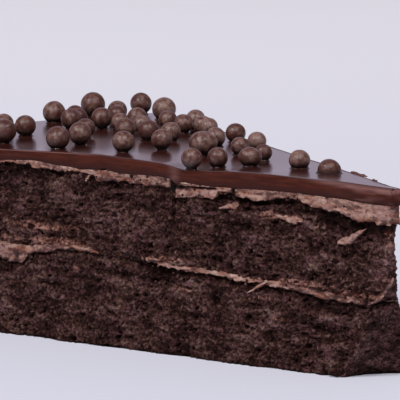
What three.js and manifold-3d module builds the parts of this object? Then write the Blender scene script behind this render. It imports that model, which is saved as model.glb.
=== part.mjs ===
// Slice of two-layer chocolate cake: one twelfth of a round cake, standing on its base as served.
// From the base up: sponge, buttercream filling, sponge, buttercream coat, poured glaze, and crisp
// chocolate pearls scattered on the glaze. Coat and glaze also run down the outer rim to the base.
//
// Millimetres, +Z up. +X runs along the middle of the slice from the rim to the tip, and the front
// cut faces -Y. The origin is the middle of the base. Places on the slice are given as
// "along", the distance from the tip's apex measured along the front cut, and "back", the distance
// behind the front cut.
import * as THREE from 'three';
import { mergeVertices } from 'three/addons/utils/BufferGeometryUtils.js';
import Module from 'manifold-3d';

const wasm = await Module();
wasm.setup();

// ---------------------------------------------------------------- driving dimensions

const TIN_RADIUS = 140; // of the sponge
const SLICES_PER_CAKE = 12;
const HEIGHT = 43.4; // base to the top of the glaze
const FILLING_HEIGHT = 17.7; // base to the middle of the filling at the tip
const APEX_X = 74; // where the cake's centre, the apex of the slice, lies on the X axis
const GAP = 0.3; // between neighbouring pieces

const GLAZE_THICKNESS = 3.6; // on top, thinner near the rim
const GLAZE_RIM_THICKNESS = 2.4;
const GLAZE_SHOULDER_RADIUS = 3.3;
const GLAZE_FOOT = 1; // how far the glaze spreads where it meets the base
const FOOT_HEIGHT = 3;
const COAT_THICKNESS = 1.4;
const COAT_RIM_THICKNESS = 1.2;
const FILLING_THICKNESS = 1.1;
const CRUMB_CUT = { recess: 0.5, relief: 0.55 }; // sponge crumbles back from the knife's cut
const FILLING_CUT = { recess: 0.2, relief: 0.3 };
const CLEAN_CUT = { recess: 0, relief: 0.12 }; // coat and glaze
const RELIEF_GRAIN = 6; // size of the lumps of that relief

const TIP_RADIUS = 3.3; // the tip is worn back this far from the apex at the top
const FOOT_RADIUS = 17; // and this far at the base
const TIP_SPREAD = THREE.MathUtils.degToRad(14); // the soft tip is squashed wider than the wedge
const FOOT_SPREAD = THREE.MathUtils.degToRad(28);
const WAIST = THREE.MathUtils.degToRad(9); // but crumbled back below the buttercream coat
const SPREAD_REACH = 0.8; // how far it carries along the slice, as a share of the tip's radius
const SOFT_WEAR = 0.9; // how much further back buttercream is worn at the tip

// ---------------------------------------------------------------- the wedge

const WEDGE = (2 * Math.PI) / SLICES_PER_CAKE;
const CAKE_RADIUS = TIN_RADIUS + COAT_RIM_THICKNESS + GLAZE_RIM_THICKNESS + 2 * GAP;
const COLUMNS = 10; // mesh divisions from the front cut to the back cut
const TOP_STEPS = 26; // from the tip to the rim
const SHOULDER_STEPS = 3;
const WALL_STEPS = 6; // down the rim
const SPONGE_LEVELS = 5;

const { clamp, lerp, smoothstep } = THREE.MathUtils;
const bump = (x, centre, width) => Math.exp(-(((x - centre) / width) ** 2));

// A point of the plan, from its distance to the apex and its angle from the front cut.
function planPoint(radius, angle) {
  const turned = angle - WEDGE / 2;
  return {
    x: -radius * Math.cos(turned),
    y: radius * Math.sin(turned),
    along: radius * Math.cos(angle),
    back: radius * Math.sin(angle),
  };
}

// The same from along and back.
const placeOnSlice = (along, back) => planPoint(Math.hypot(along, back), Math.atan2(back, along));

// Smooth random field from -1 to 1 over a grid of unit cells, always the same for the same seed.
function noise(x, y, z, seed) {
  const corner = (i, j, k) => {
    const s = Math.sin(i * 127.1 + j * 311.7 + k * 74.7 + seed * 53.3) * 4375.85;
    return 2 * (s - Math.floor(s)) - 1;
  };
  const [i, j, k] = [x, y, z].map(Math.floor);
  const [u, v, w] = [x - i, y - j, z - k].map((t) => t * t * (3 - 2 * t));
  const edge = (dj, dk) => lerp(corner(i, j + dj, k + dk), corner(i + 1, j + dj, k + dk), u);
  return lerp(lerp(edge(0, 0), edge(1, 0), v), lerp(edge(0, 1), edge(1, 1), v), w);
}

// How far the tip is worn back from the apex at a height, and how much wider than the wedge it is.
const noseRadius = (z) => lerp(TIP_RADIUS, FOOT_RADIUS, Math.max(0, 1 - z / HEIGHT) ** 2);

function tipSpread(z, radius) {
  const spread = lerp(FOOT_SPREAD, TIP_SPREAD, smoothstep(z, 8, 26)) - WAIST * bump(z, 31, 5);
  return spread * bump(radius, noseRadius(z), 1 + SPREAD_REACH * noseRadius(z));
}

// The plan point at share "across" from the front cut to the back cut, at a radius and height.
// The cut faces stand back by "recess" and wander by "relief".
function acrossSlice(radius, across, z, { recess, relief }, seed) {
  const lump = (side) => noise(radius / RELIEF_GRAIN, z / RELIEF_GRAIN, side, seed);
  const start = (recess + relief * lump(0)) / radius;
  const end = WEDGE + tipSpread(z, radius) - (recess + relief * lump(7)) / radius;
  return planPoint(radius, lerp(start, end, across));
}

// ---------------------------------------------------------------- heights of the layers

const GLAZE_ROLL = { height: 0.55, crest: 84, length: 58, depth: 18, fadesFrom: 60, fadesTo: 20 };
const GLAZE_DROOP = { height: 0.7, width: 9 }; // at the tip
const GLAZE_THINNING = { by: 1.1, from: 88, to: 112 }; // towards the rim
const COAT_TIP = { height: 3.4, width: 18 };
const COAT_PATS = [{ along: 61, height: 1.4, width: 7 }, { along: 87, height: 1, width: 5 }];
const COAT_PAT_DEPTH = 14;
const FILLING_RISE = { height: 4.2, along: 86, width: 42 };
const FILLING_BEAD = { height: 2.2, from: 96, to: 112 }; // thicker towards the rim

// Slow unevenness of a hand-spread layer.
const uneven = ({ along, back }, height, length, seed) =>
  height * noise(along / length, back / length, 0, seed);

// The glaze rolls gently along the front cut and is level further back.
function glazeTop({ along, back }) {
  const { height, crest, length, depth, fadesFrom, fadesTo } = GLAZE_ROLL;
  const wave = Math.cos((2 * Math.PI * (along - crest)) / length);
  const roll = height * wave * smoothstep(along, fadesTo, fadesFrom) * bump(back, 0, depth);
  return HEIGHT + roll - GLAZE_DROOP.height * bump(along, 0, GLAZE_DROOP.width);
}

function glazeBottom(p) {
  const thinning = GLAZE_THINNING.by * smoothstep(p.along, GLAZE_THINNING.from, GLAZE_THINNING.to);
  return glazeTop(p) - GLAZE_THICKNESS + thinning;
}

// Spread unevenly: thick at the tip, with thicker pats further along.
function coatBottom(p) {
  const pats = COAT_PATS.reduce((sum, { along, height, width }) => (
    sum + height * bump(p.along, along, width) * bump(p.back, 0, COAT_PAT_DEPTH)
  ), 0);
  const tip = COAT_TIP.height * bump(p.along, 0, COAT_TIP.width);
  return glazeBottom(p) - GAP - COAT_THICKNESS - tip - pats - uneven(p, 0.35, 16, 3);
}

// The lower sponge rises a little towards the rim, then dips.
function fillingMiddle(p) {
  const { height, along, width } = FILLING_RISE;
  return FILLING_HEIGHT + height * bump(p.along, along, width) + uneven(p, 0.5, 22, 5);
}

function fillingThickness(p) {
  const bead = FILLING_BEAD.height * smoothstep(p.along, FILLING_BEAD.from, FILLING_BEAD.to);
  return FILLING_THICKNESS + bead + uneven(p, 0.25, 12, 6);
}

const fillingTop = (p) => fillingMiddle(p) + fillingThickness(p) / 2;
const fillingBottom = (p) => fillingMiddle(p) - fillingThickness(p) / 2;

// ---------------------------------------------------------------- solids

// A closed block of nu x nv x nw cells whose points "place" moves to where they belong.
function warpedBlock(nu, nv, nw, place) {
  const box = new THREE.BoxGeometry(1, 1, 1, nu, nv, nw);
  box.deleteAttribute('normal');
  box.deleteAttribute('uv');
  const geometry = mergeVertices(box, 1e-4);
  const position = geometry.attributes.position;
  for (let i = 0; i < position.count; i++) {
    const share = [position.getX(i), position.getY(i), position.getZ(i)].map((t) => t + 0.5);
    position.setXYZ(i, ...place(...share));
  }
  geometry.computeVertexNormals();
  return geometry;
}

// A layer that lies flat between two heights, from the rim (u = 0) to the worn tip (u = 1).
function flatLayer({ bottom, top, levels, cut, wear = 0, seed }) {
  const tip = placeOnSlice(FOOT_RADIUS / 2, 0);
  return warpedBlock(TOP_STEPS, COLUMNS, levels, (u, v, w) => {
    const tipHeight = lerp(bottom(tip), top(tip), w);
    const radius = lerp(TIN_RADIUS, noseRadius(tipHeight) + wear, u);
    const p = acrossSlice(radius, v, tipHeight, cut, seed);
    return [p.x, p.y, lerp(bottom(p), top(p), w)];
  });
}

// A skin that goes up the rim's wall, round the shoulder and over the top to the worn tip.
// "outer" and "inner" each give the height on top, the depth into the rim, the shoulder's radius
// and how far the foot of the wall spreads.
function bentLayer({ outer, inner, wear = 0, seed }) {
  const steps = WALL_STEPS + SHOULDER_STEPS + TOP_STEPS;
  return warpedBlock(steps, COLUMNS, 1, (u, v, w) => {
    const { surface, depth, shoulder, foot = 0 } = w > 0.5 ? outer : inner;
    const step = u * steps;
    const up = Math.min(1, step / WALL_STEPS);
    const turn = (Math.PI / 2) * clamp((step - WALL_STEPS) / SHOULDER_STEPS, 0, 1);
    const onTop = Math.max(0, step - WALL_STEPS - SHOULDER_STEPS) / TOP_STEPS;
    const heightUnder = (top) => (top - shoulder) * up + shoulder * Math.sin(turn);
    const edge = CAKE_RADIUS - depth - shoulder * (1 - Math.cos(turn));
    const rise = heightUnder(surface(placeOnSlice(edge, 0)));
    const radius = lerp(edge + foot * bump(rise, 0, FOOT_HEIGHT), noseRadius(rise) + wear, onTop);
    const p = acrossSlice(radius, v, rise, CLEAN_CUT, seed);
    return [p.x, p.y, heightUnder(surface(p))];
  });
}

function toSolid(geometry) {
  const bare = new THREE.BufferGeometry();
  bare.setAttribute('position', geometry.getAttribute('position'));
  bare.setIndex(geometry.index);
  const merged = mergeVertices(bare, 1e-4);
  const vertProperties = merged.attributes.position.array;
  const triVerts = new Uint32Array(merged.index.array);
  return new wasm.Manifold(new wasm.Mesh({ numProp: 3, vertProperties, triVerts }));
}

function toGeometry(solid) {
  const mesh = solid.getMesh();
  const geometry = new THREE.BufferGeometry();
  geometry.setAttribute('position', new THREE.BufferAttribute(mesh.vertProperties, 3));
  geometry.setIndex(new THREE.BufferAttribute(mesh.triVerts, 1));
  geometry.computeVertexNormals();
  return geometry;
}

// ---------------------------------------------------------------- the layers

const SPONGE = new THREE.MeshStandardMaterial({ color: 0x3a2320, roughness: 0.95 });
const BUTTERCREAM = new THREE.MeshStandardMaterial({ color: 0x9a7263, roughness: 0.7 });
const GLAZE = new THREE.MeshStandardMaterial({ color: 0x431f19, roughness: 0.2 });
const PEARL = new THREE.MeshStandardMaterial({ color: 0x5c4038, roughness: 0.45 });

const INNER_SHOULDER = 0.9; // the edge of the cake under the glaze

const sponge = (bottom, top, seed) => (
  flatLayer({ bottom, top, levels: SPONGE_LEVELS, cut: CRUMB_CUT, seed })
);

const makeFilling = () => flatLayer({
  bottom: fillingBottom, top: fillingTop, levels: 1, cut: FILLING_CUT, wear: SOFT_WEAR, seed: 12,
});

const makeCoat = () => bentLayer({
  outer: {
    surface: (p) => glazeBottom(p) - GAP,
    depth: GLAZE_RIM_THICKNESS + GAP,
    shoulder: INNER_SHOULDER,
  },
  inner: {
    surface: coatBottom,
    depth: CAKE_RADIUS - TIN_RADIUS - GAP,
    shoulder: INNER_SHOULDER - GAP,
  },
  wear: SOFT_WEAR,
  seed: 14,
});

const makeGlaze = () => bentLayer({
  outer: { surface: glazeTop, depth: 0, shoulder: GLAZE_SHOULDER_RADIUS, foot: GLAZE_FOOT },
  inner: { surface: glazeBottom, depth: GLAZE_RIM_THICKNESS, shoulder: INNER_SHOULDER },
  seed: 15,
});

const layers = [
  ['sponge_bottom', SPONGE, sponge(() => 0, (p) => fillingBottom(p) - GAP, 11)],
  ['filling', BUTTERCREAM, makeFilling()],
  ['sponge_top', SPONGE, sponge((p) => fillingTop(p) + GAP, (p) => coatBottom(p) - GAP, 13)],
  ['buttercream_coat', BUTTERCREAM, makeCoat()],
  ['glaze', GLAZE, makeGlaze()],
];

// ---------------------------------------------------------------- the pearls

const PEARL_SINK = 0.4; // how deep a pearl sits in the soft glaze
const FACETED = 1.02; // makes a faceted ball as wide as the round one
const OVAL_TURN = THREE.MathUtils.degToRad(53); // the way the oval pearls point
const PEARL_UNEVENNESS = 0.03;
const PEARL_SEED = 41;
const SETTLING_ROUNDS = 60;

// Along, back and diameter; for the few that need it, length as a share of width, and how deep
// the pearl sits in the glaze.
const PEARLS = [
  // by the rim, at the front
  [136.5, 5.5, 5], [129, 9.5, 4.9], [136, 18.5, 4.6], [124.5, 2.5, 4.7],
  [118.5, 6.5, 5.5], [127.5, 17, 4.7], [121.5, 17.5, 4.9],
  // the heap across the middle, front to back
  [101, 4.5, 5.5], [101, 12.5, 5.3], [108, 23, 4.6], [120.5, 33, 4.8], [130.5, 39, 5.2],
  [126, 41, 4.4], [122, 37.5, 4.3], [129.6, 52.2, 5.9], [114.5, 37.2, 5], [122, 52, 4.7],
  [118, 47, 4.4], [110, 38, 4.2], [99, 26.5, 4.9], [83, 6, 5], [124.5, 64, 5],
  [110, 44.5, 4.7], [103.5, 38, 4.3], [92.7, 27.2, 4.9], [113.4, 58.9, 5.5], [102, 46, 4.4],
  [88, 29.5, 4.7], [79.5, 15.5, 4.8], [94.8, 42.8, 4.6], [96.5, 49.5, 4.7], [90, 44, 4.5],
  [86.5, 41.5, 4.5], [68, 16, 5.6, 1.15], [59.5, 1.2, 4.9, 1, 0.9], [55.6, 5.6, 4.6],
  // stragglers towards the tip
  [74.5, 29, 4.6], [75.8, 38.1, 4.5], [62, 22, 4.3], [63, 29.5, 4.4], [49.5, 9.5, 4.4, 1.2],
  [52.3, 18.1, 4], [37.5, 12, 4.9, 1, 1], [28, 10.5, 5.5, 1, 2.7],
].map(([along, back, diameter, length = 1, sunk = PEARL_SINK]) => (
  { along, back, diameter, length, sunk }
));

// Pushes apart the pearls that would touch, a little at a time.
function settle(pearls) {
  const widest = ({ diameter, length }) => (diameter * length) / 2;
  for (let round = 0; round < SETTLING_ROUNDS; round++) {
    pearls.forEach((a, i) => pearls.slice(i + 1).forEach((b) => {
      const away = new THREE.Vector2(b.along - a.along, b.back - a.back);
      const short = widest(a) + widest(b) + GAP - away.length();
      if (short <= 0) return;
      away.setLength(short / 2);
      [a.along, a.back] = [a.along - away.x, a.back - away.y];
      [b.along, b.back] = [b.along + away.x, b.back + away.y];
    }));
  }
  return pearls;
}

// Mulberry32: the same draws each time for the same seed.
function randomDraws(seed) {
  let state = seed;
  return () => {
    state = (state + 0x6d2b79f5) | 0;
    let t = Math.imul(state ^ (state >>> 15), 1 | state);
    t = (t + Math.imul(t ^ (t >>> 7), 61 | t)) ^ t;
    return ((t ^ (t >>> 14)) >>> 0) / 4294967296;
  };
}

// A slightly uneven ball with a flat foot where it sits in the glaze.
function makePearl({ along, back, diameter, length, sunk }, index, draw) {
  const p = placeOnSlice(along, back);
  const stretch = () => FACETED * (1 + PEARL_UNEVENNESS * (2 * draw() - 1));
  const ball = new THREE.IcosahedronGeometry(diameter / 2, 1);
  ball.scale(length * stretch(), stretch(), stretch());
  ball.rotateZ(length > 1 ? OVAL_TURN : Math.PI * draw());
  ball.computeBoundingBox();
  const foot = ball.boundingBox.min.z + sunk;
  const size = 4 * diameter;
  const below = new THREE.BoxGeometry(size, size, size).translate(0, 0, foot - size / 2);
  const mesh = new THREE.Mesh(toGeometry(toSolid(ball).subtract(toSolid(below))), PEARL);
  mesh.name = `pearl_${String(index + 1).padStart(2, '0')}`;
  mesh.position.set(p.x, p.y, glazeTop(p) + GAP - foot);
  return mesh;
}

// ---------------------------------------------------------------- the slice

const slice = new THREE.Group();
for (const [name, material, geometry] of layers) {
  const mesh = new THREE.Mesh(geometry, material);
  mesh.name = name;
  slice.add(mesh);
}
const draw = randomDraws(PEARL_SEED);
settle(PEARLS).forEach((pearl, index) => slice.add(makePearl(pearl, index, draw)));

slice.position.x = APEX_X;
const part = new THREE.Group();
part.add(slice);
export default part;
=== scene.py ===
import math

import bmesh
import bpy
import numpy as np
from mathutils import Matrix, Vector


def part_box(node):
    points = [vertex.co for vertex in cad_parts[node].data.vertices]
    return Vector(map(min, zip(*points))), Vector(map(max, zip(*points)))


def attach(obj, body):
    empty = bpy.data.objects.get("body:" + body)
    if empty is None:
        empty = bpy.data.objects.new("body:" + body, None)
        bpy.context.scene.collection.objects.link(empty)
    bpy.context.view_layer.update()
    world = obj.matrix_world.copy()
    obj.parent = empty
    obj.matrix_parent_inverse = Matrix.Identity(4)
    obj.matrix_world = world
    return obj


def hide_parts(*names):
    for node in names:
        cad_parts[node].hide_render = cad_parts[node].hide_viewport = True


# Slice of two-layer chocolate cake: torn sponge, buttercream, poured glaze and chocolate pearls.
# The slice is worked out in millimetres from its driving dimensions, which are those of the frame,
# and written out in the frame's metres. "along" is the distance from the tip's apex measured along
# the front cut, and "back" the distance behind the front cut.
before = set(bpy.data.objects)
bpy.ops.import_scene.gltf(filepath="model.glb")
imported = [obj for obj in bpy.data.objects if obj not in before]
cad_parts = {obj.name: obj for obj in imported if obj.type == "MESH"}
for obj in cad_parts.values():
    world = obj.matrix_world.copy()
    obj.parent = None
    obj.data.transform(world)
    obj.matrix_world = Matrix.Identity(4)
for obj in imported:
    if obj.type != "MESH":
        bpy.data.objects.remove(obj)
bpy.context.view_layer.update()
scene = bpy.context.scene

# ---------------------------------------- driving dimensions, in mm

MM = 0.001
TIN_RADIUS = 140
SLICES_PER_CAKE = 12
HEIGHT = 43.4
FILLING_HEIGHT = 17.7
APEX_X = 74
GAP = 0.3

GLAZE_THICKNESS = 3.6
GLAZE_RIM_THICKNESS = 2.4
GLAZE_SHOULDER_RADIUS = 3.3
GLAZE_FOOT = 1
FOOT_HEIGHT = 3
COAT_THICKNESS = 1.4
COAT_RIM_THICKNESS = 1.2
FILLING_THICKNESS = 1.1
INNER_SHOULDER = 0.9

TIP_RADIUS = 3.3
FOOT_RADIUS = 17
TIP_SPREAD = math.radians(14)
FOOT_SPREAD = math.radians(28)
WAIST = math.radians(9)
SPREAD_REACH = 0.8
RELIEF_GRAIN = 6
CRUMB_CUT = {"recess": 0.5, "relief": 0.55}
FILLING_CUT = {"recess": 0.2, "relief": 0.3}
CLEAN_CUT = {"recess": 0, "relief": 0.12}

WEDGE = 2 * math.pi / SLICES_PER_CAKE
CAKE_RADIUS = TIN_RADIUS + COAT_RIM_THICKNESS + GLAZE_RIM_THICKNESS + 2 * GAP

# ---------------------------------------- numbers and noise


def lerp(a, b, t):
    return a + (b - a) * t


def smoothstep(t, low, high):
    share = np.clip((t - low) / (high - low), 0, 1)
    return share * share * (3 - 2 * share)


def bump(t, centre, width):
    return np.exp(-(((t - centre) / width) ** 2))


def line_through(*points):
    """The broken line through (x, y) points, as a function of x."""
    xs, ys = zip(*sorted(points))
    return lambda x: np.interp(x, xs, ys)


def corner_value(i, j, k, seed):
    s = np.sin(i * 127.1 + j * 311.7 + k * 74.7 + seed * 53.3) * 4375.85
    return 2 * (s - np.floor(s)) - 1


def noise(x, y, z, seed):
    """Smooth random field from -1 to 1 over a grid of unit cells."""
    x, y, z = np.broadcast_arrays(x, y, z)
    i, j, k = np.floor(x), np.floor(y), np.floor(z)
    u, v, w = (smoothstep(t, 0, 1) for t in (x - i, y - j, z - k))

    def edge(dj, dk):
        return lerp(corner_value(i, j + dj, k + dk, seed), corner_value(i + 1, j + dj, k + dk, seed), u)

    return lerp(lerp(edge(0, 0), edge(1, 0), v), lerp(edge(0, 1), edge(1, 1), v), w)


def cells(x, y, z, seed):
    """Distance to the nearest of the centres scattered one to a unit cell, and its random number."""
    i, j, k = np.floor(x), np.floor(y), np.floor(z)
    nearest = np.full(x.shape, np.inf)
    mark = np.zeros(x.shape)
    for di, dj, dk in np.ndindex(3, 3, 3):
        cell = (i + di - 1, j + dj - 1, k + dk - 1)
        centre = [c + 0.5 + 0.45 * corner_value(*cell, seed + n) for n, c in enumerate(cell)]
        away = (x - centre[0]) ** 2 + (y - centre[1]) ** 2 + (z - centre[2]) ** 2
        closer = away < nearest
        nearest = np.where(closer, away, nearest)
        mark = np.where(closer, corner_value(*cell, seed + 3), mark)
    return np.sqrt(nearest), mark


# ---------------------------------------- the wedge, as in the frame


def plan_point(radius, angle):
    turned = angle - WEDGE / 2
    return -radius * np.cos(turned), radius * np.sin(turned)


def on_slice(along, back):
    return plan_point(np.hypot(along, back), np.arctan2(back, along))


def nose_radius(z):
    return lerp(TIP_RADIUS, FOOT_RADIUS, np.maximum(0, 1 - z / HEIGHT) ** 2)


def tip_spread(z, radius):
    spread = lerp(FOOT_SPREAD, TIP_SPREAD, smoothstep(z, 8, 26)) - WAIST * bump(z, 31, 5)
    return spread * bump(radius, nose_radius(z), 1 + SPREAD_REACH * nose_radius(z))


# Seeds of the noise in each layer's cut, and in the sponges' crumb.
CUT_SEED = {"sponge_bottom": 11, "filling": 12, "sponge_top": 13, "buttercream_coat": 14, "glaze": 15}


def cut_angles(radius, z, cut, seed):
    """The angles of the front and the back cut, which stand back and wander a little."""
    def depth(side):
        return cut["recess"] + cut["relief"] * noise(radius / RELIEF_GRAIN, z / RELIEF_GRAIN, side, seed)

    return depth(0) / radius, WEDGE + tip_spread(z, radius) - depth(7) / radius


# ---------------------------------------- heights of the layers
# Each layer has the frame's height, drawn at the front cut to the line that its edge follows there,
# which goes through (along, height) points.

ROLL_HEIGHT = 0.55
ROLL_CREST = 84
ROLL_LENGTH = 58
ROLL_REACH = 18
# Hills and slopes along the layers: their height, and middle and width, or start and end.
GLAZE_DROOP = (0.7, 0, 9)
GLAZE_THINNING = (1.1, 88, 112)
COAT_TIP = (3.4, 0, 18)
FILLING_RISE = (4.2, 86, 42)
FILLING_BEAD = (2.2, 96, 112)

EDGE_REACH = 5
GLAZE_TOP_EDGE = line_through(
    (140, 42.8), (114, 42.7), (105, 43.1), (97, 43.5), (85, 43.9), (78, 43.7), (70, 43.5),
    (67.5, 43.4), (65.5, 43.1), (63.5, 42.7), (61.5, 42.45), (59, 42.45), (56, 42.6), (49, 43.2),
    (39, 43.5), (17, 43.4), (3, 43.1),
)
GLAZE_BOTTOM_EDGE = line_through(
    (140, 40.2), (114, 40.2), (105, 40.9), (97, 40.4), (90, 40.2), (86.5, 40.3), (83.5, 40.9),
    (80.5, 40.2), (78, 40.1), (69, 40.4), (64.8, 40.1), (63, 39.1), (56, 39.2), (46, 39.6),
    (36, 39.9), (28, 40.1), (21, 39.8), (14, 39.7), (3, 39.3),
)
COAT_BOTTOM_EDGE = line_through(
    (140, 38.9), (116, 39.6), (106, 39.8), (105, 39), (102, 39), (99.6, 39.4), (97, 39.5),
    (95, 39.3), (88.4, 39.1), (86.6, 39), (86.2, 37.7), (83, 38), (79, 38.5), (76.5, 38.1),
    (70.5, 38.2), (67.6, 38.3), (64.7, 37.8), (64, 36.2), (62, 36), (57.6, 36.4), (53.4, 36.7),
    (51.7, 37.1), (50.9, 37.9), (47.5, 38), (46.6, 37.8), (42, 37.5), (38.7, 37.7), (36, 38.1),
    (32.3, 38.5), (28.9, 38.6), (25, 37.5), (21.5, 36.8), (17.4, 36.9), (14.4, 36.3), (13.7, 35.3),
    (9, 35.4), (3, 35.1),
)
FILLING_TOP_EDGE = line_through(
    (140, 21.4), (114.6, 20.9), (106, 21), (97, 22.6), (85, 22.2), (79, 21.9), (73, 21.9),
    (67.6, 21), (62, 20.6), (50.5, 20.2), (43.5, 19.9), (31, 19.6), (25, 19), (20, 18.5),
    (12, 18.1), (6, 17.8),
)
FILLING_BOTTOM_EDGE = line_through(
    (140, 18), (114.6, 17.4), (108.3, 16.9), (106.2, 19.2), (97, 21.2), (85, 21.3), (73, 21.1),
    (67.6, 20.2), (56, 19.5), (50.5, 19.3), (43.5, 19), (38, 18.6), (31, 18.2), (25, 17.5),
    (20, 17.2), (12, 16.9), (6, 16.9),
)


def uneven(along, back, height, length, seed):
    return height * noise(along / length, back / length, 0, seed)


def hill(along, height, middle, width):
    return height * bump(along, middle, width)


def slope(along, height, start, end):
    return height * smoothstep(along, start, end)


def at_front(back, reach=EDGE_REACH):
    return bump(back, 0, reach)


def glaze_top(along, back):
    wave = np.cos(2 * math.pi * (along - ROLL_CREST) / ROLL_LENGTH)
    roll = ROLL_HEIGHT * wave * smoothstep(along, 20, 60) * at_front(back, ROLL_REACH)
    level = HEIGHT + roll - hill(along, *GLAZE_DROOP)
    return lerp(level, GLAZE_TOP_EDGE(along), at_front(back))


def glaze_bottom(along, back):
    level = glaze_top(along, back) - GLAZE_THICKNESS + slope(along, *GLAZE_THINNING)
    return lerp(level, GLAZE_BOTTOM_EDGE(along), at_front(back))


def coat_bottom(along, back):
    ragged = uneven(along, back, 0.3, 1.7, 21) + uneven(along, back, 0.25, 0.7, 22)
    patchy = uneven(along, back, 0.6, 9, 23) * (1 - at_front(back))
    level = glaze_bottom(along, back) - GAP - COAT_THICKNESS - hill(along, *COAT_TIP)
    level = level - uneven(along, back, 0.35, 16, 3)
    return lerp(level, COAT_BOTTOM_EDGE(along), at_front(back)) + ragged + patchy


def filling_middle(along, back):
    return FILLING_HEIGHT + hill(along, *FILLING_RISE) + uneven(along, back, 0.5, 22, 5)


def filling_thickness(along, back):
    return FILLING_THICKNESS + slope(along, *FILLING_BEAD) + uneven(along, back, 0.25, 12, 6)


def filling_edge(along, back, edge, side):
    level = filling_middle(along, back) + side * filling_thickness(along, back) / 2
    ragged = uneven(along, back, 0.25, 1.6, 24 + side) + uneven(along, back, 0.3, 0.7, 27 + side)
    return lerp(level, edge(along), at_front(back)) + ragged


def filling_top(along, back):
    return filling_edge(along, back, FILLING_TOP_EDGE, 1)


def filling_bottom(along, back):
    return filling_edge(along, back, FILLING_BOTTOM_EDGE, -1)


def base(along, back):
    return 0 * along


# ---------------------------------------- blocks of mesh

FAR = 1e6  # stands for a distance from an edge that is out of its reach


def block(nu, nv, nw):
    """The outer points of a lattice of nu x nv x nw cells, and the faces between them."""
    shape = (nu + 1, nv + 1, nw + 1)
    lattice = np.arange(math.prod(shape)).reshape(shape)

    def sheet(points, turned):
        quads = np.stack([points[:-1, :-1], points[1:, :-1], points[1:, 1:], points[:-1, 1:]], -1)
        quads = quads.reshape(-1, 4)
        return quads[:, ::-1] if turned else quads

    faces = np.concatenate([
        sheet(lattice[:, 0, :], False), sheet(lattice[:, -1, :], True),
        sheet(lattice[-1, :, :], False), sheet(lattice[0, :, :], True),
        sheet(lattice[:, :, -1], False), sheet(lattice[:, :, 0], True),
    ])
    used, faces = np.unique(faces, return_inverse=True)
    return np.unravel_index(used, shape), faces.reshape(-1, 4)


def stations(steps, insets, both_ends):
    """Where lattice lines lie between two ends: even steps, and finer ones near the last end or both.
    Gives each line's share of the way, its inset from the end, and its distance to an end if near."""
    fine = np.asarray(insets[:-1], float)
    head = fine if both_ends else fine[:0]
    share = np.concatenate([0 * head, np.linspace(0, 1, steps + 1), 1 + 0 * fine])
    inset = np.concatenate([head, np.full(steps + 1, insets[-1]), fine[::-1]])
    near = (share == 1) | (both_ends & (share == 0))
    return share, inset, np.where(near, inset, FAR)


WALL_CELLS = 70
SHOULDER_CELLS = 6  # round the shoulder of the rim, above the cells of its wall


def climbing_rows(top_cells, insets):
    """Stations up the rim's wall and round its shoulder, where the share stays 0, then over the top."""
    climb = WALL_CELLS + SHOULDER_CELLS
    share, inset, near = stations(top_cells, insets, both_ends=False)
    return [np.concatenate([np.full(climb, first), line])
            for first, line in ((0.0, share), (insets[-1], inset), (FAR, near))]


def rounded(a, b, radius):
    """Takes points on either of two faces that meet at right angles round a corner of that radius.
    a and b are their distances behind the faces; the new distances are returned."""
    inside = np.maximum(a, b)
    turn = math.pi / 4 * np.clip(1 - inside / radius, 0, 1)
    shallow, deep = radius * (1 - np.cos(turn)), radius * (1 - np.sin(turn))
    near = (np.minimum(a, b) < 1e-6) & (inside < radius)
    return (np.where(near, np.where(a <= b, shallow, deep), a),
            np.where(near, np.where(a <= b, deep, shallow), b))


def normals_of(points, faces):
    a, b, c, d = (points[faces[:, n]] for n in range(4))
    across = np.cross(c - a, d - b)
    total = np.zeros_like(points)
    for n in range(4):
        np.add.at(total, faces[:, n], across)
    return total / np.maximum(np.linalg.norm(total, axis=1, keepdims=True), 1e-12)


NOSE_REACH = 2.5  # how far from the nose its relief is calmed


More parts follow.
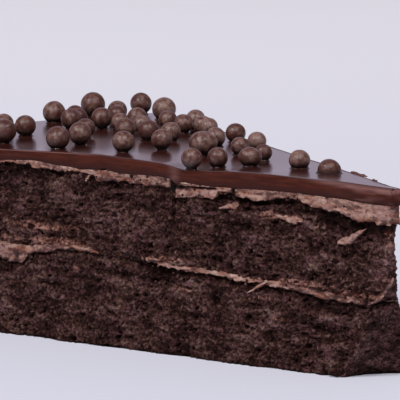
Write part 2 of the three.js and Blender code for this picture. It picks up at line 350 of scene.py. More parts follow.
class Layer:
    """One layer's mesh: its points in mm, their places on the slice, and which lie on the cut walls."""

    def __init__(self, rows, columns, levels):
        (i, j, k), self.faces = block(len(rows[0]) - 1, len(columns[0]) - 1, len(levels) - 1)
        self.row, self.level = i, np.asarray(levels)[k]
        self.run, self.nose_inset, self.to_nose = (line[i] for line in rows)
        self.across, self.side_inset, self.to_side = (line[j] for line in columns)
        self.in_front = self.across < 0.5
        on_side, on_nose = self.to_side == 0, self.to_nose == 0
        self.walls = self.faces[on_side[self.faces].all(1) | on_nose[self.faces].all(1)]
        self.on_wall = on_side | on_nose

    def draw_in(self, side, nose):
        """Sets the insets of the points that are near an edge."""
        self.side_inset = np.where(self.to_side < FAR, side, self.side_inset)
        self.nose_inset = np.where(self.to_nose < FAR, nose, self.nose_inset)

    def soften_corners(self, radius):
        """Rounds the upright corners where the nose meets the cuts."""
        self.draw_in(*rounded(self.to_side, self.to_nose, radius))

    def soften_top(self, radius, thickness):
        """Rounds the edge between the top and the walls."""
        under = (1 - self.level) * thickness
        side, under_side = rounded(self.to_side, under, radius)
        nose, under_nose = rounded(self.to_nose, under, radius)
        self.draw_in(np.maximum(side, self.side_inset), np.maximum(nose, self.nose_inset))
        self.level = 1 - np.maximum(under_side, under_nose) / thickness

    def lay_out(self, edge, nose, rise, cut, seed):
        """Finds the plan: from the edge's radius to the nose's, between the two cuts."""
        radius = lerp(edge, nose + self.nose_inset, self.run)
        start, end = cut_angles(radius, rise, cut, seed)
        inset = self.side_inset / radius
        angle = lerp(start + inset, end - inset, self.across)
        self.plan = plan_point(radius, angle)
        self.along, self.back = radius * np.cos(angle), radius * np.sin(angle)

    def lift(self, z):
        self.points = np.stack([*self.plan, z], 1)

    def calm(self, least):
        """The share of the relief that is left where the cuts meet at the nose."""
        radius = np.hypot(self.along, self.back)
        return 1 - (1 - least) * bump(radius, nose_radius(self.points[:, 2]), NOSE_REACH)

    def push_out(self, height):
        """Moves the wall's points out of their cut, but not through the floor."""
        outward = normals_of(self.points, self.walls)
        self.points = self.points + outward * np.where(self.on_wall, height, 0)[:, None]
        self.points[:, 2] = np.maximum(self.points[:, 2], 0)


def flat_layer(layer, bottom, top, cut, wear, seed):
    """A layer that goes right through the cake. Gives the height of its top over each point."""
    tip = (FOOT_RADIUS / 2, 0.0)
    tip_height = lerp(bottom(*tip), top(*tip), layer.level)
    layer.lay_out(TIN_RADIUS, nose_radius(tip_height) + wear, tip_height, cut, seed)
    low, high = bottom(layer.along, layer.back), top(layer.along, layer.back)
    layer.lift(lerp(low, high, layer.level))
    return high


def bent_layer(layer, outer, inner, wear, seed):
    """A skin that goes up the rim's wall, round the shoulder and over the top to the worn tip.
    outer and inner give the height on top, the depth into the rim, the shoulder and the foot."""
    up = np.minimum(1, layer.row / WALL_CELLS)
    turn = math.pi / 2 * np.clip((layer.row - WALL_CELLS) / SHOULDER_CELLS, 0, 1)

    def skin(surface, depth, shoulder, foot):
        def under(height):
            return (height - shoulder) * up + shoulder * np.sin(turn)

        edge = CAKE_RADIUS - depth - shoulder * (1 - np.cos(turn))
        rise = under(surface(edge, 0 * edge))
        return edge + foot * bump(rise, 0, FOOT_HEIGHT), rise, lambda p: under(surface(*p))

    (edge_in, rise_in, height_in), (edge_out, rise_out, height_out) = skin(*inner), skin(*outer)
    rise = lerp(rise_in, rise_out, layer.level)
    layer.lay_out(lerp(edge_in, edge_out, layer.level), nose_radius(rise) + wear, rise, CLEAN_CUT, seed)
    place = (layer.along, layer.back)
    layer.lift(lerp(height_in(place), height_out(place), layer.level))


# ---------------------------------------- materials


def colour(hexadecimal):
    """An sRGB colour as the linear RGBA that a socket takes."""
    shares = [int(hexadecimal[n:n + 2], 16) / 255 for n in (0, 2, 4)]
    return [s / 12.92 if s <= 0.04045 else ((s + 0.055) / 1.055) ** 2.4 for s in shares] + [1]


def add_node(tree, kind, inputs, output=0, **settings):
    """Adds a node, links its inputs or sets them, with colours in hexadecimal, and returns its output."""
    made = tree.nodes.new("ShaderNode" + kind)
    for name, value in settings.items():
        setattr(made, name, value)
    for socket, value in inputs.items():
        if isinstance(value, bpy.types.NodeSocket):
            tree.links.new(value, made.inputs[socket])
        else:
            made.inputs[socket].default_value = colour(value) if isinstance(value, str) else value
    return made.outputs[output]


class Shader:
    """A material on one Principled BSDF, built from short expressions. Sizes are in mm."""

    def __init__(self, name, **constants):
        self.material = bpy.data.materials.new(name)
        self.material.use_nodes = True
        self.tree = self.material.node_tree
        self.surface = self.tree.nodes["Principled BSDF"]
        for socket, value in constants.items():
            self.surface.inputs[socket.replace("_", " ")].default_value = value
        place = self.node("TexCoord", {}, "Object")
        self.place = self.node("VectorMath", {0: place, "Scale": 1 / MM}, operation="SCALE")

    def node(self, kind, inputs, output=0, **settings):
        return add_node(self.tree, kind, inputs, output, **settings)

    def stretched(self, *factors):
        return self.node("VectorMath", {0: self.place, 1: factors}, operation="MULTIPLY")

    def noise(self, size, detail, roughness=0.6, place=None, distortion=0):
        inputs = {"Vector": place or self.place, "Scale": 1 / size, "Detail": detail,
                  "Roughness": roughness, "Distortion": distortion}
        return self.node("TexNoise", inputs, "Fac")

    def cells(self, size, place=None, feature="F1"):
        inputs = {"Vector": place or self.place, "Scale": 1 / size}
        return self.node("TexVoronoi", inputs, "Distance", feature=feature)

    def mark(self, name):
        return self.node("Attribute", {}, "Fac", attribute_name=name)

    def between(self, value, low, high, to_low=0.0, to_high=1.0):
        inputs = {"Value": value, "From Min": low, "From Max": high, "To Min": to_low, "To Max": to_high}
        return self.node("MapRange", inputs, interpolation_type="SMOOTHSTEP")

    def sum(self, a, b, factor=1.0):
        return self.node("Math", {0: b, 1: factor, 2: a}, operation="MULTIPLY_ADD")

    def times(self, a, b):
        return self.node("Math", {0: a, 1: b}, operation="MULTIPLY")

    def mix(self, share, a, b, blend="MIX"):
        inputs = {0: share, 6: a, 7: b}
        return self.node("Mix", inputs, 2, data_type="RGBA", blend_type=blend)

    def tinted(self, base, tint, most, patches, low, high):
        """The base colour, multiplied by a tint where the patches rise from low to high."""
        return self.mix(self.between(patches, low, high, 0, most), base, (*tint, 1), "MULTIPLY")

    def bump(self, height, depth, strength, normal=None):
        inputs = {"Height": height, "Distance": depth * MM, "Strength": strength}
        if normal:
            inputs["Normal"] = normal
        return self.node("Bump", inputs)

    def drive(self, **links):
        for socket, value in links.items():
            self.tree.links.new(value, self.surface.inputs[socket.replace("_", " ")])
        return self.material


def sponge_material():
    """Dark, matt and moist: strands of reddish crumb around small black pores."""
    s = Shader("sponge_crumb", Specular_IOR_Level=0.1)
    swirl = s.node("TexNoise", {"Vector": s.place, "Scale": 1.2}, "Color")
    inputs = {0: swirl, 1: (0.9, 0.9, 0.9), 2: s.stretched(0.95, 0.95, 1)}
    sway = s.node("VectorMath", inputs, operation="MULTIPLY_ADD")
    strands = s.noise(0.75, 3, 0.65, sway)
    specks = s.noise(0.34, 2, 0.7)
    walls = s.between(s.cells(1.0, place=sway, feature="DISTANCE_TO_EDGE"), 0.02, 0.22, 1, 0)
    grain = s.sum(s.sum(strands, specks, 0.6), walls, 0.22)
    # The tone mark brings painted shade in the pits and hollows and under the layers, and painted light on
    # the raised crumb.
    tone = s.sum(s.mark("tone"), grain, 2.4)
    body = s.mix(s.between(tone, 1.3, 2.3), "150301", "3b231f")
    light = s.mix(s.between(tone, 2.05, 2.9), body, "624743")
    tips = s.mix(s.between(tone, 2.75, 3.6), light, "7e6965")
    purple = s.tinted(tips, (0.98, 0.8, 1), 0.8, s.noise(2.4, 2), 0.48, 0.62)
    olive = s.tinted(purple, (0.95, 1.02, 0.82), 0.6, s.noise(3.1, 2), 0.52, 0.66)
    film = s.mix(s.between(tone, 1.5, 3.1), "3e1d17", "aa7c6f")
    smear = s.sum(s.noise(0.9, 3, 0.7, s.stretched(0.5, 0.5, 1)), s.mark("cream"))
    smeared = s.mix(s.between(smear, 0.62, 1, 0, 0.9), olive, film)
    rough = s.between(specks, 0.35, 0.65, 0.5, 0.8)
    fine = s.bump(s.sum(grain, s.noise(0.22, 2), 0.25), 0.45, 0.9)
    return s.drive(Base_Color=smeared, Roughness=rough, Normal=fine)


def buttercream_material():
    """Chocolate buttercream: pinkish brown, full of small pores, dark where crumbs are dragged over."""
    s = Shader("buttercream", Specular_IOR_Level=0.25)
    mottle = s.noise(1.0, 4, 0.68, s.stretched(0.5, 0.5, 1.5), distortion=0.6)
    grain = s.noise(0.45, 3, 0.75)
    pores = s.between(s.cells(0.5), 0.08, 0.3)
    orange = s.between(s.noise(1.8, 3, 0.6, s.stretched(0.45, 0.45, 1.6), distortion=0.5), 0.5, 0.64)
    mauve = s.noise(5, 2, 0.5, s.stretched(0.6, 0.6, 1.6))
    blend = s.sum(s.sum(s.times(mottle, 1.1), grain, 0.8), pores, 0.14)
    # The tone mark brings painted shade in the pores, hollows and cracks, and painted light on the lumps that
    # stand out.
    tone = s.sum(s.mark("tone"), blend)
    dark = s.mix(s.between(tone, 0.85, 1.4), "140a08", "5a3833")
    pale = s.mix(s.between(tone, 1.35, 1.8), dark, "a58174")
    bright = s.mix(s.between(tone, 1.8, 2.4), pale, "d8bfb3")
    warm = s.mix(s.times(orange, 0.5), bright, "90563e")
    cool = s.tinted(warm, (0.86, 0.8, 0.95), 0.5, mauve, 0.5, 0.62)
    relief = s.sum(s.times(pores, 0.6), grain, 0.9)
    rough = s.between(mottle, 0.3, 0.7, 0.5, 0.8)
    return s.drive(Base_Color=cool, Roughness=rough, Normal=s.bump(relief, 0.4, 0.9))


def glaze_material():
    """Ganache glaze: glossy where it was poured, matt and redder where the knife went through."""
    s = Shader("ganache_glaze", Specular_IOR_Level=0.12, Coat_Roughness=0.22, Coat_IOR=1.45)
    cut = s.mark("cut")
    streaks = s.noise(1.4, 3, 0.55, s.stretched(0.22, 0.22, 2))
    clear = s.mix(s.noise(14, 2), "381815", "421d19")
    # The shade mark darkens the collars round the pearls: painted shade.
    poured = s.mix(s.mark("shade"), clear, "1a0a08")
    brown = s.mix(s.between(streaks, 0.35, 0.65), "3a160d", "4a1f15")
    sliced = s.mix(s.mark("low"), brown, "341611")
    # The pale smear colour is partly a real smear and partly painted sheen, with a painted highlight along
    # the lip.
    smeared = s.mix(s.mark("smear"), s.mix(cut, poured, sliced), "7a5652")
    rough = s.node("Mix", {0: cut, 2: 0.3, 3: s.between(streaks, 0.3, 0.7, 0.4, 0.55)})
    soft = s.bump(s.sum(s.noise(22, 1), s.noise(7, 2), 0.12), 0.35, 0.35)
    dragged = s.bump(s.times(streaks, cut), 0.12, 0.6, soft)
    return s.drive(Base_Color=smeared, Roughness=rough, Normal=dragged, Coat_Normal=soft,
                   Coat_Weight=s.between(cut, 0, 1, 1, 0))


def pearl_material():
    """Crisp pearls under a thin chocolate shell with a soft shine and a mottled bloom, and painted shade on
    their undersides and where they sit in the glaze.
    """
    s = Shader("pearl_shell", Specular_IOR_Level=0.42)
    bloom = s.noise(1.3, 5, 0.75)
    dusty = s.sum(bloom, s.mark("dust"), 0.3)
    shell = s.mix(s.noise(2.6, 2), "3c1a15", "5a3630")
    bloomed = s.mix(s.between(dusty, 0.48, 0.78), shell, "81655e")
    tan = s.tinted(bloomed, (1.05, 1, 0.76), 0.75, s.noise(1.7, 3), 0.5, 0.68)
    ruddy = s.tinted(tan, (0.95, 0.74, 0.76), 0.7, s.noise(2.1, 3), 0.5, 0.66)
    # The under mark paints shade on the underside.
    shaded = s.mix(s.mark("under"), ruddy, "190906")
    rough = s.between(bloom, 0.35, 0.7, 0.32, 0.5)
    dimples = s.bump(s.noise(1.1, 3, 0.6), 0.2, 0.8)
    return s.drive(Base_Color=shaded, Roughness=rough, Normal=dimples)


MATERIALS = {
    "sponge": sponge_material(), "buttercream": buttercream_material(),
    "glaze": glaze_material(), "pearl": pearl_material(),
}


def make_piece(name, points, faces, slot, **marks):
    """A smooth mesh piece that rides on the slice, and replaces the solid of its name if there is one.
    points are in mm. marks are point attributes, with a value for each point or one for all."""
    mesh = bpy.data.meshes.new(name)
    mesh.from_pydata(((points + [APEX_X, 0, 0]) * MM).tolist(), [], faces.tolist())
    mesh.polygons.foreach_set("use_smooth", [True] * len(mesh.polygons))
    for mark, values in marks.items():
        attribute = mesh.attributes.new(mark, "FLOAT", "POINT")
        attribute.data.foreach_set("value", np.full(len(points), values, np.float32))
    mesh.materials.append(MATERIALS[slot])
    mesh.update()
    piece = bpy.data.objects.new(name, mesh)
    scene.collection.objects.link(piece)
    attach(piece, "root")
    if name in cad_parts:
        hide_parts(name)


# ---------------------------------------- the torn crumb

CRUMB_CORNER = 0.8  # radius that the corners of the nose crumble to
CRUMB_INSETS = (0, 0.2, 0.4, 0.6, 0.8)
CRUMB_WEAR = -0.4  # the crumbs at the tip reach a little beyond the nose
WALL_REACH = 2.5  # how far behind the front cut its own hollows and smears reach
SPONGE_ROWS = stations(460, CRUMB_INSETS, both_ends=False)  # about 0.3 mm apart
SPONGE_COLUMNS = stations(20, CRUMB_INSETS, both_ends=True)
SPONGE_LEVELS = np.linspace(0, 1, 75)


def crumb_relief(x, y, z, seed):
    """How far the torn crumb stands out of its cut, and its tone: random from crumb to crumb, with painted
    shade in its pits and painted light on the lumps and grains that stand out.
    """
    sway = [0.5 * noise(x / 1.7, y / 1.7, z / 1.7, seed + n) for n in range(3)]
    x, y, z = x + sway[0], y + sway[1], z + sway[2]
    lumps, lump_tone = cells(x / 1.5, y / 1.5, z / 1, seed + 10)
    grains, grain_tone = cells(x / 0.8, y / 0.8, z / 0.65, seed + 20)
    pores, pore_size = cells(x / 2.4, y / 2.4, z / 1.4, seed + 30)
    coarse = noise(x / 5, y / 5, z / 3, seed + 40)
    torn = noise(x / 0.6, y / 0.6, z / 0.5, seed + 45)
    reach = lerp(0.05, 0.5, ((pore_size + 1) / 2) ** 2)
    pit = 1 - smoothstep(pores / reach, 0.3, 1)
    strata = noise(x / 5, y / 5, z / 0.9, seed + 55)
    clots = noise(x / 2.2, y / 2.2, z / 1.5, seed + 60)
    height = (1.1 * (0.5 - lumps) + 0.8 * (0.5 - grains) + 0.4 * coarse + 0.2 * strata + 0.2 * torn
              - 1.2 * pit)
    # Painted shade: the tone falls in the pits. Painted light: it rises on the lumps and grains that stand
    # out.
    tone = (0.12 * lump_tone + 0.25 * grain_tone + 0.35 * coarse + 0.4 * strata + 0.35 * clots
            - 0.6 * pit + 0.5 * (0.5 - lumps) + 0.6 * (0.5 - grains))
    return height, tone


# Spots of the front cut: along, height, half length, half height and strength. In hollows and cracks the
# strength is their depth.
# The hollows also darken the crumb's tone there: painted shade.
CRUMB_HOLLOWS = [
    (64.1, 35, 0.35, 5.5, 1.6), (98, 23.9, 6, 0.45, 0.9), (69, 19.2, 3, 1.1, 1.3),
    (80, 17.6, 3, 1.3, 1.1), (100, 13, 3.5, 1.1, 0.8), (53, 13.6, 1.6, 1.2, 1.2),
    (51, 8.5, 1.3, 1.2, 1), (24, 10.5, 2.8, 1.3, 1.1), (17, 4.5, 1.6, 1.6, 1),
    (6.5, 5, 2.4, 2.4, 1.3), (8.3, 9.5, 1.2, 1.2, 1), (110, 33, 3, 2, 0.7),
    (49.8, 36.9, 2, 0.4, 0.9), (40.5, 36.9, 3.3, 0.6, 1.3), (32.7, 37.6, 3, 0.6, 1.3),
    (44, 31.5, 4, 1.1, 0.8), (36, 31, 5, 1, 0.8), (25, 29, 3.5, 1.2, 0.7), (15.5, 26.7, 1.4, 0.9, 1.2),
]
COAT_HOLLOWS = [
    (64.2, 38, 0.35, 2.6, 1.6), (62, 38.5, 1.8, 0.45, 1.1), (58, 38.7, 3, 0.25, 1.1),
    (54, 38.9, 2.2, 0.2, 1.1), (47, 38.6, 0.3, 0.8, 1.4), (83.5, 40.7, 1.9, 0.35, 1.2),
    (49.5, 38.3, 1.6, 0.2, 0.5), (90.5, 40.3, 1.6, 0.25, 0.6),
]
# Where the crumb of the front cut is lighter (+) or darker (-) over a breadth. The darker patches under the
# coat and at the larger hollows are painted shade; the rest is the crumb's own lighter and darker tone.
CRUMB_PATCHES = [
    (4, 27, 3, 5, 0.4), (10, 34, 5.5, 1.4, -0.7), (20.5, 35, 4, 1.6, -0.7), (27, 36.4, 3, 1.2, -0.4),
    (44, 31.5, 8, 1.6, -0.5), (109, 38.3, 5, 1.2, -0.4), (90, 36.5, 3, 1.5, -0.3),
    (80, 36.5, 4, 1.2, -0.4), (53, 34.5, 4, 1, -0.3), (86, 30, 9, 2, 0.2), (70, 27, 8, 2, 0.15),
    (24, 25, 8, 2, 0.2), (37, 34.4, 3, 0.8, 0.6), (12, 28, 5, 2, -0.4), (80, 17.4, 8, 1.3, -0.6),
    (70, 17.5, 5, 1.5, -0.5), (83, 13.5, 5, 2, -0.2), (66, 11, 6, 2.5, -0.4), (102, 8.5, 10, 2, -0.3),
    (88, 5, 5, 2, -0.4), (30, 12, 5, 2, -0.4), (30, 4, 4, 2.5, -0.4), (21, 9, 4, 2, -0.3),
]
# Where buttercream is dragged thinly over the crumb of the front cut.
CREAM_SMEARS = [
    (97, 22.6, 9, 1.6, 0.55), (103, 26, 13, 1, 0.5), (112, 22.5, 5, 1.5, 0.4), (37, 34.4, 2.8, 0.8, 1),
    (22.8, 32.8, 1.6, 0.6, 0.6), (66, 21.8, 7, 0.6, 0.45), (51, 20.4, 6, 0.6, 0.35), (28, 19.9, 9, 1, 0.6),
    (13, 18.8, 7, 1, 0.55), (4, 22, 2, 2.6, 0.55), (4, 32, 2.5, 3, 0.35), (60, 15.5, 4, 0.5, 0.4),
    (38, 15.4, 5, 0.6, 0.35), (92.5, 17.2, 1.2, 0.7, 0.5), (34, 11.5, 5, 0.6, 0.4),
]


def front_spots(layer, spots):
    """The strongest of the spots that reach each point. They fade away behind the front cut."""
    z = layer.points[:, 2]
    total = 0 * z
    for centre, height, half_length, half_height, strength in spots:
        away = ((layer.along - centre) / half_length) ** 2 + ((z - height) / half_height) ** 2
        here = strength * np.exp(-(away ** 1.5))
        total = np.where(abs(here) > abs(total), here, total)
    return total * at_front(layer.back, WALL_REACH)


# Where the sponge falls away under a layer its tone is darkened too: painted shade.
FALL = 0.5  # how deep the sponge falls away under a layer, and over what height
FALL_HEIGHT = 0.8
# The same two along the front cut, where they change with the place along it.
UNDER_COAT = line_through((140, 0.5), (64, 0.5), (52, 0.65), (30, 0.7), (25, 0.9), (20, 1), (6, 1), (0, 0.5))
UNDER_COAT_HEIGHT = line_through((140, 1.1), (52, 1.2), (30, 1.5), (24, 3), (8, 2.8), (0, 1.5))
UNDER_FILLING = line_through((140, 0.3), (106, 1), (86, 1), (80, 0.3), (72, 1.8), (44, 1.6),
                             (38, 1.2), (14, 1.1), (0, 0.5))
UNDER_FILLING_HEIGHT = line_through((140, 1), (72, 1.3), (44, 1.2), (36, 1.3), (0, 1.3))


def make_sponge(name, bottom, top, under, under_height):
    seed = CUT_SEED[name]
    layer = Layer(SPONGE_ROWS, SPONGE_COLUMNS, SPONGE_LEVELS)
    layer.soften_corners(CRUMB_CORNER)
    high = flat_layer(layer, bottom, top, CRUMB_CUT, CRUMB_WEAR, seed)
    height, tone = crumb_relief(*layer.points.T, seed)
    below = high - layer.points[:, 2]
    front = at_front(layer.back, WALL_REACH)
    fall_in_front = under(layer.along) * bump(below, 0, under_height(layer.along))
    fall = lerp(FALL * bump(below, 0, FALL_HEIGHT), fall_in_front, front)
    hollow = front_spots(layer, CRUMB_HOLLOWS)
    patch = front_spots(layer, CRUMB_PATCHES)
    cream = front_spots(layer, CREAM_SMEARS)
    layer.push_out(height * layer.calm(0.5) * (1 - 0.6 * bump(below, 0, 0.6)) - fall - hollow)
    foot = bump(layer.points[:, 2], 0, 0.5) if bottom is base else 0
    broad = noise(layer.along / 9, layer.back / 9, layer.points[:, 2] / 5, seed + 50)
    # Painted shade: the crumb just under the coat at the front cut is darkened.
    shade_under_coat = 0.25 * front * (1 - smoothstep(below, 1.5, 4)) if top is coat_bottom else 0
    # Painted shade: the tone is also darkened where the sponge falls away under a layer and in its hollows.
    # It is darker along the foot as well.
    tone = tone + 0.12 * broad + patch - 0.4 * fall - 0.4 * hollow - 0.9 * foot - shade_under_coat
    make_piece(name, layer.points, layer.faces, "sponge", tone=tone, cream=cream)


make_sponge("sponge_bottom", base, filling_bottom, UNDER_FILLING, UNDER_FILLING_HEIGHT)
make_sponge("sponge_top", filling_top, coat_bottom, UNDER_COAT, UNDER_COAT_HEIGHT)

# ---------------------------------------- filling and coat

# How cleanly the buttercream shows along the front cut: 0 under crumbs, 1 clean.
FILLING_SHOWS = line_through(
    (140, 0.8), (108, 0.9), (104, 0.85), (99, 0.7), (88, 0.75), (83, 0.2), (75, 0.1), (72, 0.85),
    (60, 1.05), (44, 1.1), (38, 1.1), (28, 0.7), (18, 0.6), (14, 0.9), (10, 0.4), (8, 0.1), (0, 0.3),
)
# The coat's dips to nothing at 64 and 47 along are painted shade in its cracks.
COAT_SHOWS = line_through(
    (140, 0.8), (106, 0.8), (104, 0.85), (96, 0.8), (95, 0.95), (87, 0.95), (86, 0.9), (80, 0.75),
    (77, 0.85), (65, 0.85), (64.4, 0), (63.6, 0), (63, 0.95), (51, 0.95), (47.4, 0.9), (47, -0.1),
    (46.6, -0.1), (46.2, 0.8), (38, 0.95), (36, 0.75), (34.5, 0.7), (29.5, 0.7), (28.5, 0.95),
    (4, 0.9), (2, 0.5),
)
CREAM_INSETS = (0, 0.2, 0.5)
CREAM_WEAR = 0.2
CREAM_CELLS = 410
CREAM_COLUMNS = stations(20, CREAM_INSETS, both_ends=True)


def cream_relief(x, y, z, seed):
    """Torn and dragged buttercream: low lumps, fine tears and pores, with painted light on what stands out
    and painted shade in the pores.
    """
    lumps = noise(x / 2.2, y / 2.2, z / 1, seed)
    tears = noise(x / 0.8, y / 0.8, z / 0.45, seed + 1)
    pores, size = cells(x / 1.5, y / 1.5, z / 1.1, seed + 2)
    pit = 1 - smoothstep(pores, 0.05, lerp(0.08, 0.25, (size + 1) / 2))
    # Painted light on the lumps and tears, painted shade in the pores.
    return 0.25 * lumps + 0.2 * tears - 0.3 * pit, 0.15 * lumps + 0.2 * tears - 0.2 * pit


def make_cream(name, layer, shows, dirt, seed):
    """Tears the buttercream's walls. It stands a little out where it shows clean, and in under crumbs.
    dirt is how dark the crumbs dragged over it are. Its hollows are painted darker: painted shade."""
    height, tone = cream_relief(*layer.points.T, seed)
    elsewhere = 0.82 + 0.4 * noise(layer.along / 8, layer.back / 8, layer.points[:, 2] / 8, seed + 3)
    shows = lerp(elsewhere, shows(layer.along), at_front(layer.back, WALL_REACH))
    gap = front_spots(layer, COAT_HOLLOWS)
    layer.push_out(height + 0.5 * (shows - 0.9) - gap)
    x, y, z = layer.points.T
    crumbs = 0.4 * np.clip(0.6 + noise(x / 1.3, y / 1.3, z / 1.3, seed + 4), 0, 1.2)
    at_bottom = crumbs * (1 - smoothstep(layer.level, 0, 0.3))
    dragged = dirt * smoothstep(noise(x / 2, y / 2, z / 0.6, seed + 5), 0, 0.6)
    # Painted shade: the tone falls in the hollows and cracks of the front cut.
    tone = tone + shows - gap - 0.3 - (at_bottom + dragged)
    make_piece(name, layer.points, layer.faces, "buttercream", tone=tone)


def make_filling():
    rows = stations(CREAM_CELLS, CREAM_INSETS, both_ends=False)
    layer = Layer(rows, CREAM_COLUMNS, np.linspace(0, 1, 7))
    layer.soften_corners(CREAM_INSETS[-1])
    flat_layer(layer, filling_bottom, filling_top, FILLING_CUT, CREAM_WEAR, CUT_SEED["filling"])
    make_cream("filling", layer, FILLING_SHOWS, dirt=0.5, seed=60)


def make_coat():
    layer = Layer(climbing_rows(CREAM_CELLS, CREAM_INSETS), CREAM_COLUMNS, np.linspace(0, 1, 14))
    layer.soften_corners(CREAM_INSETS[-1])
    bent_layer(
        layer,
        outer=(glaze_bottom, GLAZE_RIM_THICKNESS, INNER_SHOULDER, 0),
        inner=(coat_bottom, CAKE_RADIUS - TIN_RADIUS - GAP, INNER_SHOULDER - GAP, 0),
        wear=CREAM_WEAR, seed=CUT_SEED["buttercream_coat"],
    )
    make_cream("buttercream_coat", layer, COAT_SHOWS, dirt=0.15, seed=70)


make_filling()
make_coat()

# ---------------------------------------- glaze

GLAZE_EDGE_RADIUS = 0.7
GLAZE_NOSE_EDGE_RADIUS = 1.7
GLAZE_BACK_EDGE_RADIUS = 0.3
GLAZE_CORNER_RADIUS = 0.5
GLAZE_INSETS = (0, 0.1, 0.22, 0.36, 0.5, 0.7, 1.2)
GLAZE_CELLS = 330
GLAZE_COLUMNS = stations(60, GLAZE_INSETS, both_ends=True)
GLAZE_LEVELS = (0, 0.12, 0.24, 0.36, 0.48, 0.6, 0.7, 0.8, 0.85, 0.89, 0.93, 0.97, 1)
# Near the nose the smeared cut glaze and its dull edge are also painted pale: painted sheen.
SMEARED_NOSE = 22  # how far along from the apex the cut glaze is smeared, and its edge is dull
DULL_NOSE = 28


def near_nose(along, reach):
    return smoothstep(reach - along, 0, 10)


def glaze_marks(layer):
    """How much each point is cut and not poured, is the redder foot of the cut, and is smeared pale. The pale
    smear is partly a real smear and partly painted: a painted sheen on the cut near the nose, at the crack
    and on the dull nose edge, and a painted highlight along the lip.
    """
    streaks = noise(layer.along / 3, layer.back / 3, layer.points[:, 2] / 0.4, 83)
    cut = np.where(layer.on_wall, 1 - smoothstep(layer.level, 0.93, 1), 0)
    low = cut * (1 - smoothstep(layer.level, 0.15, 0.5))
    smeared = 0.9 * smoothstep(layer.level, 0.5, 0.85) + 0.35 * streaks
    # Painted reflection: the lilac sheen at the step by the crack.
    sheen_at_crack = 0.3 * bump(layer.along, 63.5, 1.3) * (1 + streaks)
    # Painted highlight along the lip of the cut.
    lip_highlight = bump(layer.level, 0.95, 0.04) * smoothstep(layer.along, 80, 96) * layer.in_front
    on_cut = cut * (near_nose(layer.along, SMEARED_NOSE) * smeared + sheen_at_crack)
    smear = np.where(layer.on_wall, np.maximum(on_cut, lip_highlight), 0)
    edge = (1 - smoothstep(layer.side_inset, 0.3, 1.5)) * layer.in_front
    # The nose edge is dull, and painted pale with a sheen: painted sheen.
    dulled_with_sheen = near_nose(layer.along, DULL_NOSE) * edge
    dulled_with_sheen = dulled_with_sheen * smoothstep(layer.level, 0.7, 0.93) * (0.8 + 0.2 * streaks)
    back_rim = np.where(layer.in_front, 0, 1 - smoothstep(layer.side_inset, 0.5, 1))
    cut = np.maximum.reduce([cut, back_rim, 0.8 * dulled_with_sheen])
    return {"cut": cut, "low": low, "smear": np.maximum(smear, 0.9 * dulled_with_sheen)}


def make_glaze():
    layer = Layer(climbing_rows(GLAZE_CELLS, GLAZE_INSETS), GLAZE_COLUMNS, GLAZE_LEVELS)
    layer.soften_corners(GLAZE_CORNER_RADIUS)
    front_radius = lerp(GLAZE_EDGE_RADIUS, GLAZE_NOSE_EDGE_RADIUS, smoothstep(layer.run, 0.78, 0.92))
    layer.soften_top(np.where(layer.in_front, front_radius, GLAZE_BACK_EDGE_RADIUS), GLAZE_THICKNESS)
    bent_layer(
        layer,
        outer=(glaze_top, 0, GLAZE_SHOULDER_RADIUS, GLAZE_FOOT),
        inner=(glaze_bottom, GLAZE_RIM_THICKNESS, INNER_SHOULDER, 0),
        wear=0, seed=CUT_SEED["glaze"],
    )
    marks = glaze_marks(layer)
    x, y, z = layer.points.T
    waves = 0.12 * noise(x / 3, y / 3, z / 1.1, 81) + 0.05 * noise(x / 0.9, y / 0.9, z / 0.5, 82)
    layer.push_out(waves * (1 + near_nose(layer.along, SMEARED_NOSE)))
    make_piece("glaze", layer.points, layer.faces, "glaze", **marks)


make_glaze()

# ---------------------------------------- dabs, crumbs and flakes


def on_cuts(along, z, out, in_front=True):
    """Points that far out of the worn front or back cut. Those that run past the nose go on round it."""
    nose = nose_radius(z) + CRUMB_WEAR
    past = np.maximum(nose - along, 0)
    round_nose = smoothstep(past, 0, 1)
    radius = np.maximum(along, nose)
    start, end = cut_angles(radius, z, CRUMB_CUT, CUT_SEED["sponge_top"])
    turn = (past - out * (1 - round_nose)) / radius
    angle = np.where(in_front, start + turn, end - turn)
    return np.stack([*plan_point(radius - out * round_nose, angle), z], 1)


# Dabs of buttercream dragged over the front cut: how clean each is, and its middle line from left to
# right as (along, height, half width) points.
DABS = [
    (0.55, [(50.8, 34.7, 0.2), (49.4, 35, 0.5), (47.6, 35.5, 0.75), (46.4, 35.8, 0.85), (45.7, 35.9, 0.45)]),
    (0.7, [(35.5, 34.6, 0.2), (33.2, 34.3, 0.6), (31.2, 34, 0.85), (29.3, 34.1, 0.9), (27.7, 34, 0.4)]),
    (0.7, [(17.9, 29.9, 0.25), (16.5, 30.4, 0.9), (14.3, 31.2, 0.95), (12.2, 32.5, 0.5), (10.6, 33.6, 0.12)]),
    (0.8, [(89, 37.5, 0.2), (88.6, 38.1, 0.3), (88, 38.9, 0.2)]),
    (0.45, [(9.4, 17.1, 0.2), (7.4, 18, 0.45), (5.6, 19.5, 0.6), (4.3, 21.4, 0.65), (3.6, 23.2, 0.35)]),
    (0.8, [(43, 16.4, 0.12), (41.4, 17.1, 0.25), (39.6, 18.3, 0.3), (37.3, 19.4, 0.25)]),
    (0.6, [(86.5, 40.1, 0.15), (84.6, 40.1, 0.2), (82.4, 40.6, 0.12)]),
    (0.7, [(63.3, 39.35, 0.12), (60, 39.4, 0.2), (56, 39.25, 0.18), (52.6, 39.3, 0.12)]),
]
DAB_THICKNESS = 0.5
DAB_EDGE = 0.25  # how far its edges stand out, and how deep its underside lies
DAB_ROOT = 0.4
DAB_CELLS = (32, 10)
DAB_STEP = 0.02


def middle_line(dab, run):
    """The dab's place and half width at a share of its run."""
    return [np.interp(run, np.linspace(0, 1, len(dab)), line) for line in zip(*dab)]


